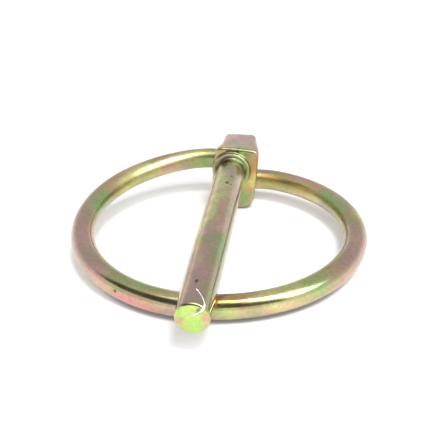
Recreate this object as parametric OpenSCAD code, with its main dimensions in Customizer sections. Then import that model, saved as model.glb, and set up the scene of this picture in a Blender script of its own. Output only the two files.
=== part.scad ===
// Lynch pin: a forged pin with a block head, and a sprung wire ring whose two ends turn in the head.
// All sizes are in millimetres and all angles in degrees.
// The pin lies along Y with its tip towards -Y, Z is up, and the table is at Z = 0.

/* [Shank] */
// Diameter of the shank where it fills the hole it locks
shank_d = 4.7; // [4.5:0.05:4.75]
// Length of the shank from the collar to the tip
shank_l = 42; // [38:0.2:46]
// Length of the slight lead-in taper at the tip end
lead_l = 16; // [12:0.5:18]
// Diameter of the shank at the tip, at the end of the taper
tip_d = 4.3; // [3.8:0.05:4.4]
// Width of the bevel around the flat tip
tip_bevel = 0.25; // [0.1:0.05:0.5]
// Radius of the fillet between the shank and the collar
root_fillet = 0.6; // [0.4:0.05:0.6]

/* [Collar] */
// Diameter of the round collar at the root of the shank
collar_d = 6.2; // [6.15:0.05:6.25]
// Thickness of the collar in front of the head
collar_t = 0.8; // [0.7:0.1:1.2]
// Radius of the collar's rounded front edge
collar_round = 0.12; // [0.08:0.01:0.14]

/* [Head] */
// Width of the head at its front face
head_front_w = 7.5; // [7.2:0.1:8.4]
// Width of the head at its back
head_back_w = 5.1; // [4.8:0.1:6]
// Length of the head along the pin
head_l = 9.5; // [9.2:0.1:11]
// Height of the head's front above the shank's axis
head_up_front = 3.8; // [3.5:0.1:4.1]
// Height of the head's back above the shank's axis
head_up_back = 2.7; // [2.2:0.1:3.2]
// Depth of the head below the shank's axis
head_down = 7.1; // [6.6:0.1:7.8]
// Offset of the head to the right of the shank's axis
head_off = 0.6; // [0:0.1:0.8]
// Lean of the head about the shank's axis, right side down
head_lean = 6; // [0:0.5:8]
// Radius of the rounded long edge at the top right of the head
top_round = 1.2; // [0.8:0.1:1.4]
// Radius of the fuller long edge at the top left of the head
left_round = 1.5; // [1:0.1:2]
// Radius of the rounded long edges at the bottom of the head
bottom_round = 2.8; // [2:0.1:3]
// Radius of the head's edges around its front and back faces
end_round = 0.6; // [0.3:0.1:0.9]
// Radius of the head's upright corners at the back
back_round = 1.6; // [0.8:0.1:1.8]

/* [Ring] */
// Diameter of the spring wire
wire_d = 3.4; // [3.2:0.1:3.5]
// Radius of the ring, to the middle of the wire
ring_r = 20.5; // [19.5:0.1:21]
// Distance of the ring's straight ends from the middle, where the bend starts
end_start = 4.1; // [4:0.1:5]
// Turn of the tighter bend next to each straight end
end_turn = 24; // [20:1:40]
// Gap between the closed ring and the shank
rest_gap = 0.15; // [0.1:0.05:0.4]

/* [Hinge] */
// Distance of the hinge behind the head's front face
hinge_back = 5.9; // [5.6:0.1:6.2]
// Distance of the hinge below the shank's axis
hinge_down = 2.3; // [2:0.1:2.6]
// How much further back the left bore lies than the right one
bore_step_y = 2.4; // [2.2:0.1:2.8]
// How much higher the left bore lies than the right one
bore_step_z = 2.7; // [2.4:0.1:3]
// Radial clearance of the wire in its bores
bore_clear = 0.06; // [0.03:0.01:0.1]
// Half thickness of the wall left between the two blind bores
bore_wall = 0.5; // [0.4:0.1:0.8]
// Gap between each wire end and the floor of its bore
end_gap = 0.25; // [0.1:0.05:0.4]

/* [Hidden] */
$fn = 96;
steel = [0.72, 0.66, 0.45];
wire_steel = [0.70, 0.64, 0.42];
shank_r = shank_d / 2;
tip_r = tip_d / 2;
collar_r = collar_d / 2;
wire_r = wire_d / 2;
bore_r = wire_r + bore_clear;
// Where two lengths of wire meet, each stops this short inside a joining band
nick = 0.05;
// The band is this wide, and this much proud of the wire
band_w = 0.4;
skin = 0.02;
// Rounded corners stand this much proud, so that they cross the sides they blend into
swell = 0.01;
// Distance from the head's front face to the tip
tip_reach = collar_t + shank_l;
// The straight ends shorten the ring a little from front to back
end_short = end_start * tan(end_turn / 2);
// Distance from the hinge to the middle of the wire at the ring's front
ring_span = 2 * ring_r - end_short;
// Angle by which the closed ring drops from the hinge to lie under the shank
ring_drop = asin((shank_r + rest_gap + wire_r - hinge_down) / ring_span);
// Where each end of the ring lies from the middle of the hinge, as [side, back, up]
LEFT = [-1, bore_step_y / 2, bore_step_z / 2];
RIGHT = [1, -bore_step_y / 2, -bore_step_z / 2];
// Middle of the wire at the ring's front, in the pin's frame
front_y = hinge_back - ring_span * cos(ring_drop);
front_z = -hinge_down - ring_span * sin(ring_drop);
// Middle of the rounded edge that the head rests on, in the pin's frame
foot_y = end_round;
foot_z = -(head_off + head_front_w / 2 - bottom_round) * sin(head_lean)
    - (head_down - bottom_round) * cos(head_lean) - bottom_round + end_round;
// The pin tilts until the ring's front and the head's foot both touch the table
foot_dist = norm([foot_y - front_y, foot_z - front_z]);
foot_angle = atan2(foot_z - front_z, foot_y - front_y);
tilt = asin((end_round + swell - wire_r - skin) / foot_dist) - foot_angle;
// Where the pin's origin comes to lie, with the part's box centred on X and Y
lift = wire_r + skin - front_y * sin(tilt) - front_z * cos(tilt);
y_back = (head_l - end_round) * cos(tilt) + (head_down - end_round) * sin(tilt) + end_round;
y_front = -tip_reach * cos(tilt) - (tip_r - tip_bevel) * sin(tilt);
shift_y = -(y_back + y_front) / 2;
shift_x = (half_r(LEFT) - half_r(RIGHT)) / 2;

// Where the floor of one blind bore lies; the wall between the bores is near the middle of the head
function bore_floor(e) = head_off / 2 + e[0] * bore_wall;
// Distance from the ring's front to one end's line
function half_span(e) = norm([ring_span + e[1], e[2]]);
// Radius of that half of the ring
function half_r(e) = (half_span(e) + end_short) / 2;
// Radius of the tighter bend next to that end
function bend_r(e) = half_r(e) - end_start / sin(end_turn);

// A convex shape whose corners are rounded; corners run anticlockwise
module rounded(corners, radii) {
    count = len(corners);
    function unit(v) = v / norm(v);
    function to_next(i) = unit(corners[(i + 1) % count] - corners[i]);
    function to_last(i) = unit(corners[(i + count - 1) % count] - corners[i]);
    function half(i) = acos(to_next(i) * to_last(i)) / 2;
    function back(i) = radii[i] / tan(half(i));
    function middle(i) = corners[i] + unit(to_next(i) + to_last(i)) * radii[i] / sin(half(i));
    polygon([
        for (i = [0:count - 1])
            each [corners[i] + to_last(i) * back(i), corners[i] + to_next(i) * back(i)]
    ]);
    for (i = [0:count - 1])
        translate(middle(i)) circle(radii[i] + swell);
}

// The outline of the shank and collar, from its middle line outwards, turned about the pin's axis
module shank_and_collar() {
    rotate([90, 0, 0]) rotate_extrude() {
        polygon([
            [0, -1],
            [shank_r, -1],
            [shank_r, tip_reach - lead_l],
            [tip_r, tip_reach - tip_bevel],
            [tip_r - tip_bevel, tip_reach],
            [0, tip_reach]
        ]);
        collar_profile();
        translate([0, collar_t]) difference() {
            square([shank_r + root_fillet, root_fillet]);
            translate([shank_r + root_fillet, root_fillet]) circle(root_fillet);
        }
    }
}

// Half of the collar's section, with a rounded front edge
module collar_profile() {
    translate([0, -1]) square([collar_r, collar_t + 1 - collar_round]);
    translate([0, -1]) square([collar_r - collar_round, collar_t + 1]);
    translate([collar_r - collar_round, collar_t - collar_round]) circle(collar_round);
}

// The block head: what its side, front and top outlines have in common
module head_block() {
    rotate([0, head_lean, 0]) intersection() {
        rotate([90, 0, 90]) linear_extrude(2 * head_front_w, center = true) head_side();
        translate([0, 2 * head_l, 0]) rotate([90, 0, 0]) linear_extrude(3 * head_l) head_front();
        translate([0, 0, -2 * head_down]) linear_extrude(4 * head_down) head_top();
    }
}

// The head seen from the side: back is to the right
module head_side() {
    rounded(
        [[0, -head_down], [head_l, -head_down], [head_l, head_up_back], [0, head_up_front]],
        [end_round, end_round, end_round, end_round]
    );
}

// The head seen from the tip
module head_front() {
    w = head_front_w / 2;
    translate([head_off, 0]) rounded(
        [[-w, -head_down], [w, -head_down], [w, head_up_front], [-w, head_up_front]],
        [bottom_round, bottom_round, top_round, left_round]
    );
}

// The head seen from above: it narrows to the back
module head_top() {
    w = head_front_w / 2;
    b = head_back_w / 2;
    translate([head_off, 0]) rounded(
        [[-w, 0], [w, 0], [b, head_l], [-b, head_l]],
        [end_round, end_round, back_round, back_round]
    );
}

// Lays the closed ring's frame on the hinge, in the pin's frame
module on_hinge() {
    translate([0, hinge_back, -hinge_down]) rotate([ring_drop, 0, 0]) children();
}

// A blind bore for one end of the ring
module bore(e) {
    on_hinge() translate([bore_floor(e), e[1], e[2]])
        rotate([0, e[0] * 90, 0]) cylinder(h = head_front_w, r = bore_r);
}

// The forged pin, with its origin on the shank's axis at the head's front face
module pin_shape() {
    difference() {
        union() {
            shank_and_collar();
            head_block();
        }
        bore(LEFT);
        bore(RIGHT);
    }
}

// One half of the ring: a straight end, a tighter bend, and the main arc round to the front
module ring_half(e) {
    big = half_r(e);
    small = bend_r(e);
    pitch = atan2(e[2], ring_span + e[1]);
    turn = 90 - end_turn;
    end_x = e[0] * bore_floor(e) + end_gap;
    translate([0, e[1], e[2]]) rotate([pitch, 0, 0]) mirror([e[0] < 0 ? 1 : 0, 0, 0]) {
        translate([end_x, 0, 0]) rotate([0, 90, 0])
            cylinder(h = end_start - end_x - nick, r = wire_r);
        translate([end_start, 0, 0]) joint();
        translate([end_start, -small, 0]) arc(small, turn, 90);
        translate([end_start + small * cos(turn), small * sin(turn) - small, 0])
            rotate([0, 0, turn - 90]) joint();
        translate([0, big - half_span(e), 0]) arc(big, -90, turn);
    }
}

// A bent length of wire, a hair short at each end
module arc(radius, from, to) {
    short = nick / radius * 180 / PI;
    rotate([0, 0, from + short])
        rotate_extrude(angle = to - from - 2 * short) translate([radius, 0]) circle(wire_r);
}

// A short band along X that joins two lengths of wire into one solid
module joint() {
    rotate([0, 90, 0]) cylinder(h = band_w, r = wire_r + skin, center = true);
}

// The sprung ring, with its origin at the middle of the hinge
module ring_shape() {
    ring_half(LEFT);
    translate([0, -ring_span, 0]) joint();
    ring_half(RIGHT);
}

// Lays the pin's frame down on the table as the part comes to rest
module at_rest() {
    translate([shift_x, shift_y, lift]) rotate([tilt, 0, 0]) children();
}

module pin() {
    color(steel) at_rest() pin_shape();
}

module ring() {
    color(wire_steel) at_rest() on_hinge() ring_shape();
}

pin();
ring();
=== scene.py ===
"""Looks of the lynch pin: a forged pin and its sprung wire ring, both zinc plated and yellow passivated.

Sizes are in millimetres in the pin's own frame, as in the part's source. They become metres in the shared
frame. Studio sizes are in metres.
"""
import math

import bpy
import numpy as np
from mathutils import Matrix, Vector, noise
from mathutils.bvhtree import BVHTree
from mathutils.kdtree import KDTree


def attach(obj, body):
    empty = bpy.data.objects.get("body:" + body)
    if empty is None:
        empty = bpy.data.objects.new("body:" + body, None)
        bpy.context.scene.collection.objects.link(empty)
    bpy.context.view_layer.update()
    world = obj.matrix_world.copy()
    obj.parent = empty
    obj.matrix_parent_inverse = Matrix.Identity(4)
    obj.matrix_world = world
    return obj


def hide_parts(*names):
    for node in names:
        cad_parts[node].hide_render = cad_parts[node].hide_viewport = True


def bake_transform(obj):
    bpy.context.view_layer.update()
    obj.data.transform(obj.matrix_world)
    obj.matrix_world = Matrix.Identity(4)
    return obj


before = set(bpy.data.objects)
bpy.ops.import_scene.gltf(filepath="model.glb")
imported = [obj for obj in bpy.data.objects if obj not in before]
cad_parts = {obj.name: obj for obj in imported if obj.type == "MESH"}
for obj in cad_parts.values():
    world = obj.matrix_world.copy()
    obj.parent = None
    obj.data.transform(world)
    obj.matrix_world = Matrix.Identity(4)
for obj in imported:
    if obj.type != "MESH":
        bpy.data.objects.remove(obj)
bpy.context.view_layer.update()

MM = 0.001

# Sizes of the part, with the same names as in its source
SHANK_R = 2.35
SHANK_L = 42.0
LEAD_L = 16.0
TIP_R = 2.15
TIP_BEVEL = 0.25
ROOT_FILLET = 0.6
COLLAR_R = 3.1
COLLAR_T = 0.8
COLLAR_ROUND = 0.12
HEAD_FRONT_W = 7.5
HEAD_BACK_W = 5.1
HEAD_L = 9.5
HEAD_UP_FRONT = 3.8
HEAD_UP_BACK = 2.7
HEAD_DOWN = 7.1
HEAD_OFF = 0.6
HEAD_LEAN = math.radians(6)
TOP_ROUND = 1.2
LEFT_ROUND = 1.5
BOTTOM_ROUND = 2.8
END_ROUND = 0.6
BACK_ROUND = 1.6
WIRE_R = 1.7
RING_R = 20.5
END_START = 4.1
END_TURN = math.radians(24)
REST_GAP = 0.15
HINGE_BACK = 5.9
HINGE_DOWN = 2.3
BORE_STEP_Y = 2.4
BORE_STEP_Z = 2.7
BORE_CLEAR = 0.06
BORE_R = WIRE_R + BORE_CLEAR
BORE_WALL = 0.5
END_GAP = 0.25
SKIN = 0.02
SWELL = 0.01

# Forms that only the scene has
# The forging runs smoothly from the head's front onto the collar
COLLAR_COVE = 0.45
# The head's sides are eased where they meet its top and bottom
SIDE_EASE = 0.8
# The head's left side falls in by this much over this length, and then runs straight back
LEFT_FALL = 0.85
LEFT_FALL_L = 3.8
# The forging left the head's top a little twisted: slope across, per millimetre back
TOP_TWIST = 0.009
# The edges of the tip's bevel and the rims of the bores and pits are rounded
BEVEL_EASE = 0.12
TIP_EASE = 0.05
BORE_EASE = 0.12
PIT_EASE = 0.06

TIP_REACH = COLLAR_T + SHANK_L
END_SHORT = END_START * math.tan(END_TURN / 2)
RING_SPAN = 2 * RING_R - END_SHORT
RING_DROP = math.asin((SHANK_R + REST_GAP + WIRE_R - HINGE_DOWN) / RING_SPAN)
LEFT = (-1, BORE_STEP_Y / 2, BORE_STEP_Z / 2)
RIGHT = (1, -BORE_STEP_Y / 2, -BORE_STEP_Z / 2)


def half_span(end):
    """Distance from the ring's front to one end's line."""
    return math.hypot(RING_SPAN + end[1], end[2])


def half_r(end):
    """Radius of that half of the ring."""
    return (half_span(end) + END_SHORT) / 2


def bore_floor(end):
    """Where the floor of one blind bore lies, across the head."""
    return HEAD_OFF / 2 + end[0] * BORE_WALL


def rest_matrix():
    """The pin's frame on the table, tilted until the ring's front and the head's foot both touch."""
    front_y = HINGE_BACK - RING_SPAN * math.cos(RING_DROP)
    front_z = -HINGE_DOWN - RING_SPAN * math.sin(RING_DROP)
    foot_y = END_ROUND
    foot_z = (-(HEAD_OFF + HEAD_FRONT_W / 2 - BOTTOM_ROUND) * math.sin(HEAD_LEAN)
              - (HEAD_DOWN - BOTTOM_ROUND) * math.cos(HEAD_LEAN) - BOTTOM_ROUND + END_ROUND)
    foot_dist = math.hypot(foot_y - front_y, foot_z - front_z)
    foot_angle = math.atan2(foot_z - front_z, foot_y - front_y)
    wire_touch = WIRE_R + SKIN
    tilt = math.asin((END_ROUND + SWELL - wire_touch) / foot_dist) - foot_angle
    lift = wire_touch - front_y * math.sin(tilt) - front_z * math.cos(tilt)
    y_back = ((HEAD_L - END_ROUND) * math.cos(tilt) + (HEAD_DOWN - END_ROUND) * math.sin(tilt) + END_ROUND)
    y_front = -TIP_REACH * math.cos(tilt) - (TIP_R - TIP_BEVEL) * math.sin(tilt)
    shift = Vector(((half_r(LEFT) - half_r(RIGHT)) / 2, -(y_back + y_front) / 2, lift))
    return Matrix.Translation(shift) @ Matrix.Rotation(tilt, 4, "X")


PIN_FRAME = rest_matrix()
RING_FRAME = (PIN_FRAME @ Matrix.Translation((0, HINGE_BACK, -HINGE_DOWN))
              @ Matrix.Rotation(RING_DROP, 4, "X"))


def to_row(points, matrix):
    """Points in millimetres in one frame, as points in metres in the shared frame."""
    m = np.array(matrix)
    return (points @ m[:3, :3].T + m[:3, 3]) * MM


def to_local(points, matrix):
    """Points in metres in the shared frame, as points in millimetres in one frame."""
    m = np.array(matrix.inverted())
    return (np.asarray(points, float) / MM) @ m[:3, :3].T + m[:3, 3]


# The camera, fitted to the photograph's outlines
PHOTO_SIZE = 436
CAMERA_AT = Vector((13.337, -95.281, 51.22)) * MM
CAMERA_AZIMUTH = math.radians(7.748)
CAMERA_DOWN = math.radians(25.139)
CAMERA_ROLL = math.radians(-1.48)
CAMERA_FOCUS_PX = 724.095
SENSOR_MM = 36.0


def camera_axes():
    """The camera's right, up and forward directions."""
    forward = Vector((
        -math.sin(CAMERA_AZIMUTH) * math.cos(CAMERA_DOWN),
        math.cos(CAMERA_AZIMUTH) * math.cos(CAMERA_DOWN),
        -math.sin(CAMERA_DOWN),
    ))
    level_right = forward.cross(Vector((0, 0, 1))).normalized()
    level_up = level_right.cross(forward)
    right = level_right * math.cos(CAMERA_ROLL) + level_up * math.sin(CAMERA_ROLL)
    up = level_up * math.cos(CAMERA_ROLL) - level_right * math.sin(CAMERA_ROLL)
    return right, up, forward


def add_camera():
    """The camera at the photograph's viewing angle."""
    right, up, forward = camera_axes()
    data = bpy.data.cameras.new("camera")
    data.sensor_fit = "HORIZONTAL"
    data.sensor_width = SENSOR_MM
    data.lens = CAMERA_FOCUS_PX / PHOTO_SIZE * SENSOR_MM
    data.clip_start = 0.001
    data.clip_end = 20
    camera = bpy.data.objects.new("camera", data)
    axes = Matrix((right, up, -forward)).transposed()
    camera.matrix_world = Matrix.Translation(CAMERA_AT) @ axes.to_4x4()
    bpy.context.scene.collection.objects.link(camera)
    bpy.context.scene.camera = camera


def pixel_ray(x, y):
    """The direction from the camera through one pixel of the photograph."""
    right, up, forward = camera_axes()
    middle = (PHOTO_SIZE - 1) / 2
    return (forward + right * ((x - middle) / CAMERA_FOCUS_PX)
            - up * ((y - middle) / CAMERA_FOCUS_PX)).normalized()


def tree_of(obj):
    """A search tree of one object's faces."""
    mesh = obj.data
    points = [v.co.copy() for v in mesh.vertices]
    return BVHTree.FromPolygons(points, [tuple(p.vertices) for p in mesh.polygons])


def seen_at(tree, x, y):
    """The point of a surface that the photograph shows at a pixel, in metres."""
    hit = tree.ray_cast(CAMERA_AT, pixel_ray(x, y))
    if hit[0] is None:
        hit = tree.find_nearest(CAMERA_AT + pixel_ray(x, y) * 0.1)
    return hit[0]


# The pin's surface, as the distance of a point from it

def smooth_share(value, low, high):
    """Nought below low, one above high, and an even blend between."""
    t = np.clip((value - low) / (high - low), 0, 1)
    return t * t * (3 - 2 * t)


def round_max(a, b, r):
    """What two shapes have in common, with an edge of radius r."""
    return np.minimum(-r, np.maximum(a, b)) + np.hypot(np.maximum(a + r, 0), np.maximum(b + r, 0))


def round_min(a, b, r):
    """Two shapes joined, with a fillet of radius r."""
    return np.maximum(r, np.minimum(a, b)) - np.hypot(np.maximum(r - a, 0), np.maximum(r - b, 0))


def head_distance(p):
    """The forged block head."""
    c = math.cos(HEAD_LEAN)
    s = math.sin(HEAD_LEAN)
    x = p[:, 0] * c - p[:, 2] * s - HEAD_OFF
    y = p[:, 1]
    z = p[:, 0] * s + p[:, 2] * c
    slope = (HEAD_UP_BACK - HEAD_UP_FRONT) / HEAD_L
    narrow = (HEAD_BACK_W - HEAD_FRONT_W) / 2 / HEAD_L
    half = HEAD_FRONT_W / 2 + narrow * y
    twist = TOP_TWIST * (x + HEAD_BACK_W / 2) * np.maximum(y, 0)
    top = (z - HEAD_UP_FRONT - slope * y - twist) / math.hypot(1, slope)
    right = (x - half) / math.hypot(1, narrow)
    left = -x - HEAD_FRONT_W / 2 + LEFT_FALL * smooth_share(y, 0, LEFT_FALL_L)
    bottom = -z - HEAD_DOWN
    full_right = x - HEAD_FRONT_W / 2
    full_left = -x - HEAD_FRONT_W / 2
    around = np.maximum.reduce([
        round_max(full_right, bottom, BOTTOM_ROUND),
        round_max(full_left, bottom, BOTTOM_ROUND),
        round_max(full_right, top, TOP_ROUND),
        round_max(full_left, top, LEFT_ROUND),
        round_max(right, top, SIDE_EASE),
        round_max(left, top, SIDE_EASE),
        round_max(right, bottom, SIDE_EASE),
        round_max(left, bottom, SIDE_EASE),
    ])
    back = y - HEAD_L
    closed = np.maximum(round_max(around, -y, END_ROUND), round_max(around, back, END_ROUND))
    return np.maximum(closed, round_max(np.maximum(left, right), back, BACK_ROUND))


# How far the shank's round form goes on into the head
SHANK_INTO_HEAD = 1


def shank_distance(p):
    """The shank and the collar, turned about the pin's axis."""
    r = np.hypot(p[:, 0], p[:, 2])
    t = -p[:, 1]
    lead = np.clip((t - (TIP_REACH - LEAD_L)) / (LEAD_L - TIP_BEVEL), 0, 1)
    wall = r - SHANK_R + (SHANK_R - TIP_R) * lead
    bevel = (r - TIP_R + t - TIP_REACH + TIP_BEVEL) / math.sqrt(2)
    shank = round_max(round_max(wall, bevel, BEVEL_EASE), t - TIP_REACH, TIP_EASE)
    collar = round_max(r - COLLAR_R, t - COLLAR_T, COLLAR_ROUND)
    return np.maximum(round_min(shank, collar, ROOT_FILLET), -t - SHANK_INTO_HEAD)


def bore_distance(p, end):
    """One blind bore, with the closed ring's end in its middle."""
    c = math.cos(RING_DROP)
    s = math.sin(RING_DROP)
    y = HINGE_BACK + end[1] * c - end[2] * s
    z = -HINGE_DOWN + end[1] * s + end[2] * c
    radial = np.hypot(p[:, 1] - y, p[:, 2] - z) - BORE_R
    return np.maximum(radial, end[0] * (bore_floor(end) - p[:, 0]))


# Height, wave along x, y and z, and phase
FORGED_WAVES = (
    (0.020, (0.9, 0.5, 0.7), 0.4),
    (0.016, (-0.6, 0.8, 1.1), 1.9),
    (0.010, (1.7, -0.9, -1.3), 3.1),
    (0.006, (2.9, 1.6, 2.3), 0.8),
)
# The drawn shank is smoother than the head
SHANK_WAVE_SHARE = 0.25


def forged_waves(p):
    """The slight unevenness of a forged and barrelled surface."""
    total = np.zeros(len(p))
    for height, wave, phase in FORGED_WAVES:
        total += height * np.sin(p @ np.array(wave) + phase)
    return total


def pin_distance(p, pits):
    """The whole pin: head, shank, bores with eased rims, and pits."""
    head = head_distance(p) + forged_waves(p)
    shank = shank_distance(p) + SHANK_WAVE_SHARE * forged_waves(p)
    body = round_min(head, shank, COLLAR_COVE)
    for end in (LEFT, RIGHT):
        body = round_max(body, -bore_distance(p, end), BORE_EASE)
    for middle, radius in pits:
        hollow = radius - np.linalg.norm((p - middle) * PIT_STRETCH, axis=1)
        body = round_max(body, hollow, PIT_EASE)
    return body


SETTLE_ROUNDS = 4
SETTLE_STEP = 0.01
LEAST_SLOPE = 0.25
LONGEST_MOVE = 0.2


def settle_on(points, distance):
    """Moves points onto the surface where the distance is nought."""
    step = SETTLE_STEP
    for turn in range(SETTLE_ROUNDS):
        value = distance(points)
        slope = np.empty_like(points)
        for axis in range(3):
            shift = np.zeros(3)
            shift[axis] = step
            slope[:, axis] = (distance(points + shift) - distance(points - shift)) / (2 * step)
        size = np.maximum((slope ** 2).sum(1), LEAST_SLOPE)
        move = np.clip(value / size, -LONGEST_MOVE, LONGEST_MOVE)
        points = points - move[:, None] * slope
    return points


PIN_VOXEL = 0.11
# Pits in the plating: pixel of the photograph and radius
SHANK_PITS = ((226.5, 182, 0.24), (196, 280.5, 0.2), (231, 176, 0.13), (230, 184, 0.13))
RING_PITS = ((114.5, 290.5, 0.18),)
# The pits are drawn out along the shank
PIT_STRETCH = np.array([1, 0.55, 1])
# A pit's middle stands above the shank by this much of its radius
PIT_RISE = 0.35


def make_pin(cad):
    """The pin as a fine mesh with eased edges, laid on the exact surface."""
    tree = tree_of(cad)
    pits = []
    for x, y, radius in SHANK_PITS:
        middle = to_local([seen_at(tree, x, y)], PIN_FRAME)[0]
        outward = middle * np.array([1, 0, 1])
        middle = middle + outward / np.linalg.norm(outward) * radius * PIT_RISE
        pits.append((middle, radius))
    mesh = cad.data.copy()
    mesh.transform(Matrix.Scale(1 / MM, 4))
    obj = bpy.data.objects.new("forged_pin", mesh)
    bpy.context.scene.collection.objects.link(obj)
    bpy.context.view_layer.objects.active = obj
    obj.select_set(True)
    mesh.remesh_voxel_size = PIN_VOXEL
    bpy.ops.object.voxel_remesh()
    obj.select_set(False)
    mesh = obj.data
    points = np.empty(len(mesh.vertices) * 3)
    mesh.vertices.foreach_get("co", points)
    local = to_local(points.reshape(-1, 3) * MM, PIN_FRAME)
    local = settle_on(local, lambda p: pin_distance(p, pits))
    mesh.vertices.foreach_set("co", to_row(local, PIN_FRAME).ravel())
    mesh.polygons.foreach_set("use_smooth", np.ones(len(mesh.polygons), bool))
    mesh.update()
    return obj, pits


# The ring

# Patches of colour are this much longer along a piece than across it
STREAK = 1.8
WIRE_SIDES = 56
WIRE_STEP = 0.22
# The edges of the wire's flat ends
WIRE_END_EASE = 0.15
# The drawn wire's thickness wanders by this share
WIRE_WANDER = 0.004


def half_path(end):
    """The middle line of one half of the wire, from its end to the front, with each point's plane normal."""
    big = half_r(end)
    small = big - END_START / math.sin(END_TURN)
    turn = math.pi / 2 - END_TURN
    end_x = end[0] * bore_floor(end) + END_GAP
    points = []
    fine = WIRE_STEP / 4
    for x in np.arange(end_x, END_START, fine):
        points.append((x, 0, 0))
    for a in np.arange(math.pi / 2, turn, -fine / small):
        points.append((END_START + small * math.cos(a), small * math.sin(a) - small, 0))
    for a in np.linspace(turn, -math.pi / 2, int(big * (turn + math.pi / 2) / fine)):
        points.append((big * math.cos(a), big * math.sin(a) + big - half_span(end), 0))
    flat = np.array(points) * np.array([end[0], 1, 1])
    pitch = Matrix.Rotation(math.atan2(end[2], RING_SPAN + end[1]), 4, "X")
    laid = Matrix.Translation((0, end[1], end[2])) @ pitch
    m = np.array(laid)
    normal = m[:3, 2]
    return flat @ m[:3, :3].T + m[:3, 3], np.tile(normal, (len(flat), 1))


# The ends stay in their own bores and the wire between twists, as the sprung ring does: how far round from
# its end, in degrees, the wire has taken up half of the swing, and how steeply
TWIST_MIDDLE = 26
TWIST_STEEP = 4


def swing_share(path):
    """How much of the swing each point of the middle line follows."""
    turned = np.degrees(np.arctan2(np.abs(path[:, 0]), path[:, 1] + RING_SPAN / 2))
    return turned ** TWIST_STEEP / (turned ** TWIST_STEEP + TWIST_MIDDLE ** TWIST_STEEP)


def evenly(path, *others):
    """A line's points and what goes with them, spaced evenly along it."""
    run = np.r_[0, np.cumsum(np.linalg.norm(np.diff(path, axis=0), axis=1))]
    keep = np.r_[True, np.diff(run) > 1e-6]
    places = np.linspace(0, run[-1], int(run[-1] / WIRE_STEP))
    return [np.stack([np.interp(places, run[keep], c[keep]) for c in part.T], 1) for part in (path, *others)]


def make_ring():
    """The ring: round wire swept along its middle line, with flat eased ends."""
    left, left_normal = half_path(LEFT)
    right, right_normal = half_path(RIGHT)
    path = np.vstack([left, right[-2::-1]])
    up = np.vstack([left_normal, right_normal[-2::-1]])
    path, up = evenly(path, up)
    along = np.gradient(path, axis=0)
    along /= np.linalg.norm(along, axis=1)[:, None]
    side = np.cross(up, along)
    side /= np.linalg.norm(side, axis=1)[:, None]
    up = np.cross(along, side)
    count = len(path)
    ring_angle = np.arange(WIRE_SIDES) * 2 * math.pi / WIRE_SIDES
    share = swing_share(path)
    run = np.r_[0, np.cumsum(np.linalg.norm(np.diff(path, axis=0), axis=1))]
    # Each end face is closed by a smaller circle, which eases its edge, and a middle point
    ease = WIRE_END_EASE
    points = []
    weights = []
    unrolled = []
    for row in range(count + 2):
        i = min(max(row - 1, 0), count - 1)
        radius = WIRE_R * (1 + WIRE_WANDER * math.sin(i * 0.11) * math.sin(i * 0.037 + 1))
        middle = path[i]
        if row == 0 or row == count + 1:
            radius = WIRE_R - ease
        elif row == 1:
            middle = path[i] + along[i] * ease
        elif row == count:
            middle = path[i] - along[i] * ease
        for a in ring_angle:
            points.append(middle + radius * (math.cos(a) * up[i] + math.sin(a) * side[i]))
            weights.append(share[i])
            unrolled.append((run[i] / STREAK, radius * math.cos(a), radius * math.sin(a)))
    for i in (0, count - 1):
        points.append(path[i])
        weights.append(share[i])
        unrolled.append((run[i] / STREAK, 0, 0))
    first = len(points) - 2
    last = len(points) - 1
    faces = []
    for row in range(count + 1):
        for k in range(WIRE_SIDES):
            n = (k + 1) % WIRE_SIDES
            a = row * WIRE_SIDES
            b = a + WIRE_SIDES
            faces.append((a + k, a + n, b + n, b + k))
    for k in range(WIRE_SIDES):
        n = (k + 1) % WIRE_SIDES
        faces.append((first, n, k))
        faces.append((last, (count + 1) * WIRE_SIDES + k, (count + 1) * WIRE_SIDES + n))
    mesh = bpy.data.meshes.new("wire_ring")
    mesh.from_pydata(to_row(np.array(points), RING_FRAME).tolist(), [], faces)
    mesh.polygons.foreach_set("use_smooth", np.ones(len(mesh.polygons), bool))
    mesh.update()
    obj = bpy.data.objects.new("wire_ring", mesh)
    bpy.context.scene.collection.objects.link(obj)
    return obj, np.array(weights, np.float32), np.array(unrolled)


add_camera()
forged_pin, pin_pits = make_pin(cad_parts["pin"])
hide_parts("pin")
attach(forged_pin, "pin")
wire_ring, ring_weights, ring_unrolled = make_ring()


# Colours of the yellow passivation, as they show under white light, and of the painted shade and highlight
# laid with them

def linear(r, g, b):
    """A colour given as it shows on a screen, from 0 to 255, as light."""
    return np.array([((v / 255 + 0.055) / 1.055) ** 2.4 if v > 10 else v / 3294.6 for v in (r, g, b)])


PALETTE = {
    "mauve": linear(186, 156, 149),
    "pink": linear(217, 170, 162),
    "copper": linear(208, 161, 140),
    "gold": linear(205, 198, 124),
    "yellow": linear(211, 212, 145),
    "olive": linear(163, 168, 106),
    "green": linear(140, 171, 107),
    "lime": linear(180, 216, 112),
    "sage": linear(162, 168, 134),
    "leaf": linear(156, 188, 122),
    "moss": linear(104, 120, 72),
    "umber": linear(128, 100, 88),
    # Only for the painted highlight on the collar's rim
    "cream": linear(238, 232, 196),
    "rose": linear(214, 150, 142),
    "amber": linear(196, 146, 84),
    "grey": linear(186, 176, 160),
    "dark": linear(60, 50, 42),
}


def lay(colour, name, share):
    """Lays a colour of the palette over what is there."""
    return colour * (1 - share[:, None]) + PALETTE[name] * share[:, None]


def noise_of(points, scale, seed):
    """Even noise from -1 to 1 at each point."""
    shift = Vector((seed * 7.3, seed * 3.1, seed * 5.7))
    return np.array([noise.noise(Vector(p) * scale + shift) for p in points])


# Patches for each millimetre, how much of the layer below a patch hides, and how soft its edge is
WIDE_SCALE = 0.16
MIDDLE_SCALE = 0.33
FINE_SCALE = 0.55
MOTTLE_STRENGTH = 0.7
MOTTLE_SOFT = 0.08


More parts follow.
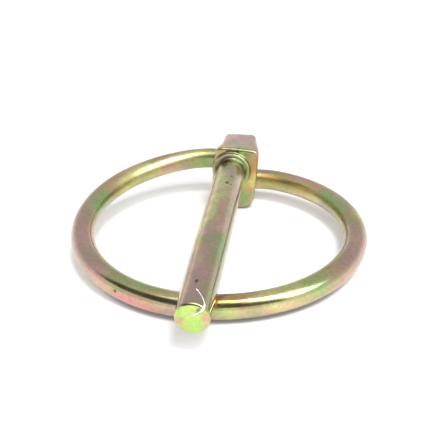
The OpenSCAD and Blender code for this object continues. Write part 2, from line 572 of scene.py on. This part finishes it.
def mottle(points, seed):
    """The soft patches of colour that the bath leaves all over a piece."""
    wide = noise_of(points, WIDE_SCALE, seed)
    middle = noise_of(points, MIDDLE_SCALE, seed + 1)
    fine = noise_of(points, FINE_SCALE, seed + 2)
    colour = np.tile(PALETTE["mauve"], (len(points), 1))
    layers = (
        ("olive", wide + 0.4 * fine, 0.0, 0.3),
        ("green", middle + 0.3 * fine, 0.12, 0.38),
        ("copper", -wide + 0.5 * middle, 0.18, 0.42),
        ("gold", -middle + 0.4 * fine, 0.2, 0.45),
        ("pink", fine - 0.4 * wide, 0.28, 0.5),
    )
    for name, field, low, high in layers:
        share = smooth_share(field, low - MOTTLE_SOFT, high + MOTTLE_SOFT)
        colour = lay(colour, name, MOTTLE_STRENGTH * share)
    return colour


def points_of(obj):
    """A piece's points, in millimetres in the shared frame."""
    points = np.empty(len(obj.data.vertices) * 3)
    obj.data.vertices.foreach_get("co", points)
    return points.reshape(-1, 3) / MM


def nearest_finder(points):
    """A search tree of points."""
    finder = KDTree(len(points))
    for i, p in enumerate(points):
        finder.insert(p, i)
    finder.balance()
    return finder


def on_tip(points):
    """One on the shank's flat end, nought behind it."""
    back = TIP_REACH + to_local(points * MM, PIN_FRAME)[:, 1]
    return 1 - smooth_share(back, 0.1, 0.24)


# How fast a patch fades outwards, and the most that its edge is bent, in millimetres
PATCH_FALL = 1.4
MOST_WARP = 1.2


def paint(obj, unrolled, dullness, patches, seed, zones=(), pits=(), tip_patches=()):
    """Gives each point of a piece its colour: mottled all over, then the patches that the photograph shows.

    Unrolled places are drawn together along the piece, so that a round patch there is a streak on the piece.
    """
    points = points_of(obj)
    tree = tree_of(obj)
    finder = nearest_finder(points)
    colour = mottle(unrolled, seed)
    warp = np.stack([noise_of(unrolled, 0.6, seed + 11 + k) + 0.5 * noise_of(unrolled, 1.5, seed + 31 + k)
                     for k in range(3)], 1)

    def share_of(patch, bend, power):
        x, y, radius, name, strength = patch
        middle = unrolled[finder.find(seen_at(tree, x, y) / MM)[1]]
        away = np.linalg.norm(unrolled + warp * min(radius * bend, MOST_WARP) - middle, axis=1)
        return strength * np.exp(-PATCH_FALL * (away / radius) ** power)

    for patch in patches:
        colour = lay(colour, patch[3], share_of(patch, 0.5, 2))
    # Painted shade and highlight, given as zones
    for name, share in zones:
        colour = lay(colour, name, share)
    tip = on_tip(points)
    for patch in tip_patches:
        colour = lay(colour, patch[3], tip * share_of(patch, 0.4, 4))
    for middle, radius in pits:
        away = np.linalg.norm((points - middle) * PIT_STRETCH, axis=1)
        colour = lay(colour, "dark", 1 - smooth_share(away, 0.7 * radius, 1.5 * radius))
    # The bath's colour, with the painted shade, highlight and reflection on the collar and shank
    attribute = obj.data.color_attributes.new("bath_colour_and_painted_light", "FLOAT_COLOR", "POINT")
    attribute.data.foreach_set("color", np.c_[colour, np.ones(len(points))].astype(np.float32).ravel())
    dull = obj.data.attributes.new("dullness", "FLOAT", "POINT")
    dull.data.foreach_set("value", dullness.astype(np.float32))


def collar_painted_light(local):
    """The collar's painted light: a cream painted highlight on the lit part of its rim, and painted shade,
    mossy on its side next to the head, umber and green at the root round the shank and dark deep in it.
    """
    r = np.hypot(local[:, 0], local[:, 2])
    t = -local[:, 1]
    right = smooth_share(local[:, 0], -0.2, 1.0)
    aside = smooth_share(np.abs(local[:, 0]), 0.3, 1.3)
    near = smooth_share(t, 0.02, 0.08) * (1 - smooth_share(t, 1.5, 2.0))
    past_edge = smooth_share(t, COLLAR_T - 0.14, COLLAR_T - 0.06)
    side = near * smooth_share(r, COLLAR_R - 0.06, COLLAR_R - 0.01) * (1 - past_edge)
    turn = np.degrees(np.arctan2(local[:, 0], local[:, 2]))
    lit = smooth_share(turn, -45, -15) * (1 - smooth_share(turn, 55, 85))
    rim = near * smooth_share(r, COLLAR_R - 0.2, COLLAR_R - 0.12) * past_edge
    root = near * (1 - smooth_share(t, 1.1, 1.6)) * (1 - smooth_share(r, COLLAR_R - 0.24, COLLAR_R - 0.16))
    inner = root * aside * (1 - smooth_share(r, COLLAR_R - 0.6, COLLAR_R - 0.35))
    # Painted highlight on the rim's lit side; painted shade on the collar's side and in its root
    return (("moss", 0.5 * side), ("cream", 0.9 * rim * lit), ("umber", 0.6 * root * (1 - right)),
            ("green", 0.7 * root * right), ("dark", 0.4 * inner))


# Patches seen in the photograph: pixel, radius in millimetres, colour and strength
PIN_PATCHES = (
    (238, 140, 3.0, "mauve", 0.9),
    (230, 137, 1.2, "pink", 0.5),
    (243, 145, 1.6, "pink", 0.4),
    (238, 149.5, 2.2, "green", 0.8),
    (238, 151, 1.6, "moss", 0.45),
    (253, 162, 2.2, "copper", 0.8),
    (253, 178, 2.4, "gold", 0.8),
    (247, 198, 2.2, "green", 0.9),
    (217, 155, 1.8, "gold", 0.8),
    (228, 154, 1.0, "mauve", 0.4),
    (221, 160, 1.0, "mauve", 0.4),
    (243, 154, 0.9, "lime", 0.5),
    (246, 159, 0.9, "green", 0.7),
    (248, 165, 0.8, "green", 0.6),
    # Painted shade in the hollow round the shank's root, under the collar
    (222.5, 163, 0.8, "dark", 0.7),
    (227, 160, 0.6, "dark", 0.5),
    (241, 164, 0.9, "dark", 0.7),
    (245, 171, 1.0, "dark", 0.7),
    (247, 177, 0.8, "dark", 0.5),
    (256, 160, 1.3, "amber", 0.8),
    (254, 170, 1.4, "amber", 0.8),
    (252, 181, 1.3, "gold", 0.8),
    (250, 188, 1.0, "amber", 0.5),
    (217, 168, 1.4, "olive", 0.7),
    # Shank, from its root down
    (235, 162.5, 0.6, "grey", 0.7),
    (236, 170, 1.2, "grey", 0.8),
    (242, 176, 1.2, "sage", 0.9),
    (224, 182, 1.5, "yellow", 0.9),
    (221, 176, 1.1, "yellow", 1.0),
    (222, 192, 1.5, "yellow", 0.9),
    (217, 200, 1.2, "yellow", 1.0),
    (213, 212, 1.0, "yellow", 1.0),
    (238, 180, 1.4, "grey", 0.9),
    (236, 192, 1.3, "mauve", 0.8),
    (219, 213, 1.0, "olive", 0.7),
    (225, 205, 1.1, "copper", 1.0),
    (224, 214, 1.0, "copper", 0.9),
    (231, 203, 1.0, "sage", 1.0),
    (229, 213, 0.9, "sage", 1.0),
    (216, 228, 1.3, "pink", 0.9),
    (222, 229, 1.0, "pink", 0.8),
    (208, 229, 1.0, "mauve", 0.8),
    (220, 238, 1.3, "green", 1.0),
    (209, 241, 1.2, "mauve", 0.9),
    (203, 241, 1.0, "olive", 0.8),
    (222, 247, 1.1, "green", 0.9),
    (216, 256, 1.3, "green", 1.0),
    (207, 253, 1.2, "mauve", 0.9),
    (200, 257, 1.0, "gold", 0.6),
    (197, 264, 1.0, "pink", 0.6),
    (214, 267, 1.1, "olive", 0.8),
    (204, 269, 1.4, "mauve", 1.0),
    (205, 271, 1.2, "pink", 0.4),
    (195, 277, 1.3, "mauve", 1.0),
    (211, 277, 1.0, "mauve", 0.7),
    (201, 286, 1.5, "mauve", 1.0),
    (210, 289, 1.0, "olive", 0.6),
    (190, 293, 1.4, "mauve", 1.0),
    # Left flank: yellow high up, a painted highlight along the edge, then pink
    (214.5, 195, 0.8, "yellow", 0.9),
    (211, 207, 0.8, "yellow", 0.9),
    (207.5, 218, 0.8, "yellow", 0.9),
    (203, 232, 0.8, "pink", 0.6),
    (198, 248, 0.8, "pink", 0.6),
    (192, 265, 0.8, "pink", 0.6),
    (186, 283, 0.8, "pink", 0.5),
    # Right flank: a pale sage strip along the edge, a painted reflection
    (231.5, 219, 0.9, "sage", 1.0),
    (229, 230, 0.9, "sage", 1.0),
    (226.5, 241, 0.9, "sage", 1.0),
    (224, 251, 0.9, "sage", 1.0),
    (222, 261, 0.9, "sage", 1.0),
    (219.5, 271, 0.9, "sage", 1.0),
    (217.5, 281, 0.9, "sage", 1.0),
    (215, 292, 0.9, "sage", 1.0),
)
TIP_PATCHES = (
    (191, 318, 4.5, "lime", 1.0),
    (192, 310, 1.4, "yellow", 0.5),
    (177, 320, 0.75, "copper", 0.8),
    (207, 317, 0.8, "copper", 0.9),
    (205, 326, 0.7, "pink", 0.5),
    (182, 327, 0.7, "copper", 0.4),
    (198, 310.5, 0.4, "dark", 0.7),
)
RING_PATCHES = (
    # Back left, from the head
    (208, 154, 1.6, "olive", 0.9),
    (200, 157, 2.0, "yellow", 0.8),
    (206, 163, 1.3, "leaf", 0.95),
    (195, 165, 1.3, "leaf", 0.7),
    (182, 160, 2.0, "yellow", 0.8),
    (184, 168, 1.2, "mauve", 0.6),
    (166, 168, 1.3, "pink", 0.9),
    (150, 160, 1.4, "olive", 0.7),
    (142, 171, 2.2, "yellow", 0.9),
    (128, 168, 1.6, "pink", 0.7),
    (124, 180, 1.6, "gold", 0.8),
    (112, 178, 1.6, "mauve", 0.8),
    (106, 187, 1.6, "copper", 0.9),
    (104, 200, 2.0, "leaf", 0.95),
    (94, 205, 1.6, "leaf", 0.8),
    # Left
    (80, 215, 1.8, "mauve", 0.9),
    (93, 222, 1.4, "olive", 0.7),
    (86, 228, 1.6, "copper", 0.8),
    (77, 235, 1.6, "mauve", 0.9),
    (88, 245, 1.6, "pink", 0.5),
    (81, 240, 1.8, "pink", 0.5),
    (80, 255, 2.0, "mauve", 0.9),
    (92, 262, 1.6, "mauve", 0.8),
    # Front left
    (95, 275, 1.5, "pink", 0.9),
    (104, 271, 1.6, "mauve", 0.7),
    (106, 283, 1.5, "pink", 0.9),
    (113, 282, 1.4, "leaf", 0.7),
    (118, 294, 1.6, "rose", 0.6),
    (128, 279, 1.6, "olive", 0.8),
    (133, 302, 1.6, "rose", 0.9),
    (140, 286, 1.6, "leaf", 0.8),
    (150, 306, 1.6, "rose", 0.9),
    (160, 293, 1.6, "olive", 0.7),
    (172, 301, 1.6, "yellow", 0.6),
    (170, 309, 1.4, "mauve", 0.8),
    # Front right
    (214, 303, 1.2, "amber", 0.9),
    (224, 297, 1.2, "mauve", 0.8),
    (245, 296, 1.1, "mauve", 0.8),
    (262, 293, 1.1, "mauve", 0.7),
    (228, 305, 1.2, "amber", 0.9),
    (245, 304, 1.2, "amber", 0.9),
    (260, 301, 1.1, "gold", 0.8),
    (222, 312, 1.0, "leaf", 0.8),
    (233, 311, 1.0, "yellow", 0.9),
    (241.5, 310, 0.7, "copper", 1.0),
    (250, 311, 0.9, "leaf", 0.6),
    (261, 311, 1.0, "mauve", 0.6),
    (271, 306, 1.0, "copper", 0.8),
    (278, 303, 0.9, "yellow", 0.8),
    (280, 293, 1.6, "yellow", 0.9),
    (284, 301, 1.8, "yellow", 0.8),
    (296, 302, 1.3, "pink", 0.6),
    (304, 290, 1.6, "gold", 0.8),
    (316, 285, 1.6, "leaf", 0.9),
    (326, 278, 1.6, "leaf", 0.8),
    # Right
    (338, 268, 1.8, "copper", 0.6),
    (357, 248, 1.8, "mauve", 0.9),
    (352, 232, 1.8, "mauve", 0.9),
    (361, 235, 1.3, "copper", 0.5),
    (338, 205, 1.6, "leaf", 0.9),
    (348, 205, 1.4, "mauve", 0.7),
    (326, 195, 1.6, "leaf", 0.9),
    (334, 190, 1.4, "mauve", 0.8),
    # Back right, to the head
    (308, 189, 1.4, "copper", 0.95),
    (312, 196, 1.3, "yellow", 0.7),
    (300, 176, 1.5, "mauve", 0.8),
    (296, 187, 1.5, "gold", 0.8),
    (282, 186, 1.5, "olive", 0.8),
    (266, 180, 1.8, "gold", 0.9),
    (268, 187, 1.4, "olive", 0.9),
    (262, 189, 1.2, "umber", 0.6),
    (268, 173, 1.2, "umber", 0.5),
    (280, 172, 1.5, "olive", 0.8),
)


ring_tree = tree_of(wire_ring)
row_pits = [(to_row(np.array([m]), PIN_FRAME)[0] / MM, r) for m, r in pin_pits]
ring_pits = [(np.array(seen_at(ring_tree, x, y)) / MM, r) for x, y, r in RING_PITS]
pin_local = to_local(points_of(forged_pin) * MM, PIN_FRAME)
pin_unrolled = pin_local * np.array([1, 1 / STREAK, 1])
# The forged head and collar are duller than the drawn shank
pin_dull = smooth_share(pin_local[:, 1], -2.2, -0.9)
# The wire's highlights are soft at the back and sharp at the front
RING_BACK_DULL = 1.8
ring_dull = RING_BACK_DULL * smooth_share(points_of(wire_ring)[:, 1], -6, 16)
PIN_SEED = 3
RING_SEED = 23
paint(forged_pin, pin_unrolled, pin_dull, PIN_PATCHES, PIN_SEED,
      collar_painted_light(pin_local), row_pits, TIP_PATCHES)
paint(wire_ring, ring_unrolled, ring_dull, RING_PATCHES, RING_SEED, pits=ring_pits)


def plated_steel(name, grain):
    """Bright zinc with a yellow passivate: tinted by the bath's patches and by the painted shade and
    highlight laid with them, with soft gloss and fine grain.
    """
    material = bpy.data.materials.new(name)
    material.use_nodes = True
    tree = material.node_tree
    nodes = tree.nodes
    links = tree.links
    shader = nodes["Principled BSDF"]
    shader.inputs["Metallic"].default_value = 1.0
    bath = nodes.new("ShaderNodeAttribute")
    bath.attribute_name = "bath_colour_and_painted_light"
    place = nodes.new("ShaderNodeTexCoord")

    def cloud(scale, detail, roughness):
        node = nodes.new("ShaderNodeTexNoise")
        node.inputs["Scale"].default_value = scale
        node.inputs["Detail"].default_value = detail
        node.inputs["Roughness"].default_value = roughness
        links.new(place.outputs["Object"], node.inputs["Vector"])
        return node

    def spread(source, low, high):
        node = nodes.new("ShaderNodeMapRange")
        node.inputs["From Min"].default_value = 0.3
        node.inputs["From Max"].default_value = 0.7
        node.inputs["To Min"].default_value = low
        node.inputs["To Max"].default_value = high
        links.new(source, node.inputs["Value"])
        return node

    speckle = cloud(1900, 3, 0.6)
    tone = spread(speckle.outputs["Fac"], 0.9, 1.1)
    tinted = nodes.new("ShaderNodeVectorMath")
    tinted.operation = "SCALE"
    links.new(bath.outputs["Color"], tinted.inputs[0])
    links.new(tone.outputs["Result"], tinted.inputs["Scale"])
    links.new(tinted.outputs["Vector"], shader.inputs["Base Color"])
    haze = cloud(420, 4, 0.55)
    gloss = spread(haze.outputs["Fac"], 0.13, 0.24)
    dull = nodes.new("ShaderNodeAttribute")
    dull.attribute_name = "dullness"
    rough = nodes.new("ShaderNodeMath")
    rough.operation = "MULTIPLY_ADD"
    rough.inputs[1].default_value = 0.1
    links.new(dull.outputs["Fac"], rough.inputs[0])
    links.new(gloss.outputs["Result"], rough.inputs[2])
    links.new(rough.outputs[0], shader.inputs["Roughness"])
    dimple = cloud(grain, 2, 0.5)
    bump = nodes.new("ShaderNodeBump")
    bump.inputs["Strength"].default_value = 0.25
    bump.inputs["Distance"].default_value = 0.00002
    links.new(dimple.outputs["Fac"], bump.inputs["Height"])
    links.new(bump.outputs["Normal"], shader.inputs["Normal"])
    return material


for piece, material in ((forged_pin, plated_steel("passivated_forging", 900)),
                        (wire_ring, plated_steel("passivated_wire", 1300))):
    piece.data.materials.clear()
    piece.data.materials.append(material)

# A white scratch that runs down the shank and over the edge of its tip: pixels of the photograph
SCRATCH = (
    (195.7, 288), (198.5, 291.5), (201.5, 296), (203.4, 300.5),
    (204.2, 304.5), (203, 308.5), (199, 312), (193, 315),
)
# Its widths, at these shares of its length: widest where it crosses the tip's edge
SCRATCH_SHARES = (0, 0.04, 0.1, 0.5, 0.66, 0.78, 1)
SCRATCH_WIDTHS = (0.06, 0.22, 0.1, 0.13, 0.38, 0.3, 0.08)
SCRATCH_STEPS = 60
SCRATCH_SIDES = 8
# Its height, as a share of its width
SCRATCH_PROUD = 0.6


def make_scratch(carrier):
    """The scratch: a thin raised burr that follows the surface, tapering to both ends."""
    tree = tree_of(carrier)
    marks = np.array(SCRATCH)
    places = np.linspace(0, len(marks) - 1, SCRATCH_STEPS)
    found = []
    for t in places:
        x, y = (np.interp(t, np.arange(len(marks)), marks[:, k]) for k in range(2))
        found.append(np.array(seen_at(tree, x, y)) / MM)
    path = np.array(found)
    for again in range(3):
        path[1:-1] = (path[:-2] + 2 * path[1:-1] + path[2:]) / 4
    along = np.gradient(path, axis=0)
    along /= np.linalg.norm(along, axis=1)[:, None]
    points = []
    for i, middle in enumerate(path):
        spot = tree.find_nearest(Vector(middle) * MM)
        outward = np.array(spot[1])
        side = np.cross(along[i], outward)
        side /= np.linalg.norm(side)
        outward = np.cross(side, along[i])
        radius = np.interp(i / (len(path) - 1), SCRATCH_SHARES, SCRATCH_WIDTHS) / 2
        for k in range(SCRATCH_SIDES):
            a = 2 * math.pi * k / SCRATCH_SIDES
            around = math.cos(a) * side + SCRATCH_PROUD * math.sin(a) * outward
            points.append(np.array(spot[0]) / MM + radius * around)
    faces = []
    for i in range(len(path) - 1):
        for k in range(SCRATCH_SIDES):
            n = (k + 1) % SCRATCH_SIDES
            a = i * SCRATCH_SIDES
            faces.append((a + k, a + n, a + n + SCRATCH_SIDES, a + k + SCRATCH_SIDES))
    end = (len(path) - 1) * SCRATCH_SIDES
    faces.append(tuple(range(SCRATCH_SIDES - 1, -1, -1)))
    faces.append(tuple(range(end, end + SCRATCH_SIDES)))
    mesh = bpy.data.meshes.new("tip_scratch")
    mesh.from_pydata((np.array(points) * MM).tolist(), [], faces)
    mesh.polygons.foreach_set("use_smooth", np.ones(len(mesh.polygons), bool))
    mesh.materials.append(bare_zinc())
    obj = bpy.data.objects.new("tip_scratch", mesh)
    bpy.context.scene.collection.objects.link(obj)
    return obj


def bare_zinc():
    """Scuffed white zinc where the passivate is gone."""
    material = bpy.data.materials.new("bare_zinc")
    material.use_nodes = True
    tree = material.node_tree
    shader = tree.nodes["Principled BSDF"]
    shader.inputs["Metallic"].default_value = 0.15
    shader.inputs["Roughness"].default_value = 0.55
    place = tree.nodes.new("ShaderNodeTexCoord")
    grain = tree.nodes.new("ShaderNodeTexNoise")
    grain.inputs["Scale"].default_value = 4000
    tree.links.new(place.outputs["Object"], grain.inputs["Vector"])
    ramp = tree.nodes.new("ShaderNodeValToRGB")
    ramp.color_ramp.elements[0].color = (0.72, 0.72, 0.66, 1)
    ramp.color_ramp.elements[1].color = (0.98, 0.98, 0.95, 1)
    tree.links.new(grain.outputs["Fac"], ramp.inputs["Fac"])
    tree.links.new(ramp.outputs["Color"], shader.inputs["Base Color"])
    return material


tip_scratch = make_scratch(forged_pin)
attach(tip_scratch, "pin")

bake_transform(wire_ring)
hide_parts("ring")


# The studio

def camera_or_mirror(tree):
    """One where a ray comes from the camera or from a mirror-like or clear surface."""
    path = tree.nodes.new("ShaderNodeLightPath")
    first = tree.nodes.new("ShaderNodeMath")
    first.operation = "MAXIMUM"
    second = tree.nodes.new("ShaderNodeMath")
    second.operation = "MAXIMUM"
    tree.links.new(path.outputs["Is Camera Ray"], first.inputs[0])
    tree.links.new(path.outputs["Is Glossy Ray"], first.inputs[1])
    tree.links.new(first.outputs[0], second.inputs[0])
    tree.links.new(path.outputs["Is Transmission Ray"], second.inputs[1])
    return second.outputs[0]


WORLD_LIGHT = 0.6


def add_world():
    """White all round, and a little less of it as light."""
    world = bpy.data.worlds.new("studio")
    bpy.context.scene.world = world
    world.use_nodes = True
    tree = world.node_tree
    background = tree.nodes["Background"]
    background.inputs["Color"].default_value = (1, 1, 1, 1)
    level = tree.nodes.new("ShaderNodeMapRange")
    level.inputs["To Min"].default_value = WORLD_LIGHT
    level.inputs["To Max"].default_value = 1.0
    tree.links.new(camera_or_mirror(tree), level.inputs["Value"])
    tree.links.new(level.outputs["Result"], background.inputs["Strength"])


def level_corners(left, right, front, back, height):
    """The corners of a level rectangle."""
    return [(left, front, height), (right, front, height), (right, back, height), (left, back, height)]


def plate(name, corners, material):
    """A flat stage panel with these corners."""
    mesh = bpy.data.meshes.new(name)
    mesh.from_pydata(corners, [], [tuple(range(len(corners)))])
    square = mesh.uv_layers.new(name="square")
    for loop, place in zip(square.data, ((0, 0), (1, 0), (1, 1), (0, 1))):
        loop.uv = place
    mesh.materials.append(material)
    obj = bpy.data.objects.new(name, mesh)
    bpy.context.scene.collection.objects.link(obj)
    return obj


FLOOR_SHADE = 0.8
FLOOR_GLOW = 0.16
FLOOR_HALF = 3.0
# Just under the object, so that the two never fight for one place
FLOOR_Z = -0.00001
# The floor darkens where the object closes it off within this reach, between these shares of openness
CONTACT_SHADE = 0.2
CONTACT_REACH = 0.0011
CONTACT_CLOSE = 0.25
CONTACT_OPEN = 0.6


def add_floor():
    """A plain white floor that shows white to the camera and keeps the shadow."""
    material = bpy.data.materials.new("white_floor")
    material.use_nodes = True
    tree = material.node_tree
    tree.nodes.remove(tree.nodes["Principled BSDF"])
    matt = tree.nodes.new("ShaderNodeBsdfDiffuse")
    # Little light reaches the floor right where the object touches it
    reach = tree.nodes.new("ShaderNodeAmbientOcclusion")
    reach.inputs["Distance"].default_value = CONTACT_REACH
    contact = tree.nodes.new("ShaderNodeMapRange")
    contact.inputs["From Min"].default_value = CONTACT_CLOSE
    contact.inputs["From Max"].default_value = CONTACT_OPEN
    contact.inputs["To Min"].default_value = CONTACT_SHADE
    contact.inputs["To Max"].default_value = FLOOR_SHADE
    tree.links.new(reach.outputs["AO"], contact.inputs["Value"])
    tree.links.new(contact.outputs["Result"], matt.inputs["Color"])
    glow = tree.nodes.new("ShaderNodeEmission")
    glow.inputs["Color"].default_value = (1, 1, 1, 1)
    level = tree.nodes.new("ShaderNodeMath")
    level.operation = "MULTIPLY"
    level.inputs[1].default_value = FLOOR_GLOW
    tree.links.new(camera_or_mirror(tree), level.inputs[0])
    tree.links.new(level.outputs[0], glow.inputs["Strength"])
    both = tree.nodes.new("ShaderNodeAddShader")
    tree.links.new(matt.outputs[0], both.inputs[0])
    tree.links.new(glow.outputs[0], both.inputs[1])
    tree.links.new(both.outputs[0], tree.nodes["Material Output"].inputs["Surface"])
    plate("floor", level_corners(-FLOOR_HALF, FLOOR_HALF, -FLOOR_HALF, FLOOR_HALF, FLOOR_Z), material)


def add_lamp(name, place, target, width, depth, watts):
    """A soft rectangular lamp, which the metal doesn't mirror."""
    data = bpy.data.lights.new(name, "AREA")
    data.shape = "RECTANGLE"
    data.size = width
    data.size_y = depth
    data.energy = watts
    lamp = bpy.data.objects.new(name, data)
    lamp.location = place
    lamp.rotation_euler = (Vector(target) - Vector(place)).to_track_quat("-Z", "Y").to_euler()
    lamp.visible_glossy = False
    bpy.context.scene.collection.objects.link(lamp)


def add_card(name, corners, shade, soft_edge):
    """A plain card of one shade, clear towards its edges, that the metal mirrors."""
    material = bpy.data.materials.new(name)
    material.use_nodes = True
    tree = material.node_tree
    tree.nodes.remove(tree.nodes["Principled BSDF"])
    place = tree.nodes.new("ShaderNodeTexCoord")
    centred = tree.nodes.new("ShaderNodeMapping")
    centred.inputs["Location"].default_value = (-1, -1, 0)
    centred.inputs["Scale"].default_value = (2, 2, 0)
    tree.links.new(place.outputs["UV"], centred.inputs["Vector"])
    aside = tree.nodes.new("ShaderNodeVectorMath")
    aside.operation = "ABSOLUTE"
    tree.links.new(centred.outputs["Vector"], aside.inputs[0])
    sides = tree.nodes.new("ShaderNodeSeparateXYZ")
    tree.links.new(aside.outputs["Vector"], sides.inputs["Vector"])
    most = tree.nodes.new("ShaderNodeMath")
    most.operation = "SMOOTH_MAX"
    most.inputs[2].default_value = 0.3
    tree.links.new(sides.outputs["X"], most.inputs[0])
    tree.links.new(sides.outputs["Y"], most.inputs[1])
    ramp = tree.nodes.new("ShaderNodeMapRange")
    ramp.interpolation_type = "SMOOTHSTEP"
    ramp.inputs["From Min"].default_value = 1.0
    ramp.inputs["From Max"].default_value = 1 - soft_edge
    tree.links.new(most.outputs[0], ramp.inputs["Value"])
    glow = tree.nodes.new("ShaderNodeEmission")
    glow.inputs["Color"].default_value = (*shade, 1)
    clear = tree.nodes.new("ShaderNodeBsdfTransparent")
    mix = tree.nodes.new("ShaderNodeMixShader")
    tree.links.new(ramp.outputs["Result"], mix.inputs["Fac"])
    tree.links.new(clear.outputs[0], mix.inputs[1])
    tree.links.new(glow.outputs[0], mix.inputs[2])
    tree.links.new(mix.outputs[0], tree.nodes["Material Output"].inputs["Surface"])
    card = plate(name, corners, material)
    card.visible_camera = False
    card.visible_diffuse = False
    card.visible_shadow = False


def toward(distance, *directions):
    """Points at a distance from the object; azimuth 0 is in front, 90 to the right."""
    points = []
    for azimuth, elevation in directions:
        a = math.radians(azimuth)
        e = math.radians(elevation)
        points.append((distance * math.sin(a) * math.cos(e), -distance * math.cos(a) * math.cos(e),
                       distance * math.sin(e)))
    return points


def add_sun(strength, spread_deg, heading):
    """Even soft light from above, which the metal doesn't mirror."""
    data = bpy.data.lights.new("sky", "SUN")
    data.energy = strength
    data.angle = math.radians(spread_deg)
    lamp = bpy.data.objects.new("sky", data)
    lamp.rotation_euler = Vector(heading).to_track_quat("-Z", "Y").to_euler()
    lamp.visible_glossy = False
    bpy.context.scene.collection.objects.link(lamp)


add_world()
add_floor()
CEILING_Z = 0.5
OVERHEAD_Z = 0.49
CARD_DISTANCE = 0.4
DARK = (0.1, 0.1, 0.1)
add_card("ceiling", level_corners(-2.6, 2.6, -0.6, 2.2, CEILING_Z), (0.66, 0.66, 0.68), 0.7)
add_lamp("front", (0.14, -0.25, 0.28), (0, 0, 0), 0.5, 0.22, 1.3)
# A bright strip that runs wider and nearer to the right: the ring's highlight
add_card("overhead", [(-0.26, -0.10, OVERHEAD_Z), (1.0, -0.52, OVERHEAD_Z), (1.0, -0.04, OVERHEAD_Z),
                      (-0.26, -0.03, OVERHEAD_Z)], (9.0, 9.0, 9.0), 0.6)
# Dark cards in front, on both sides: the dark streaks in the ring's front
add_card("dark_left", toward(CARD_DISTANCE, (-92, 18), (-6, 14), (-6, 60), (-92, 48)), DARK, 0.3)
add_card("dark_right", toward(CARD_DISTANCE, (-34, 17), (60, 12), (54, 38), (-34, 64)), DARK, 0.3)
add_sun(1.4, 14, (-0.25, 0.4, -1))

bpy.context.scene.view_settings.view_transform = "Standard"
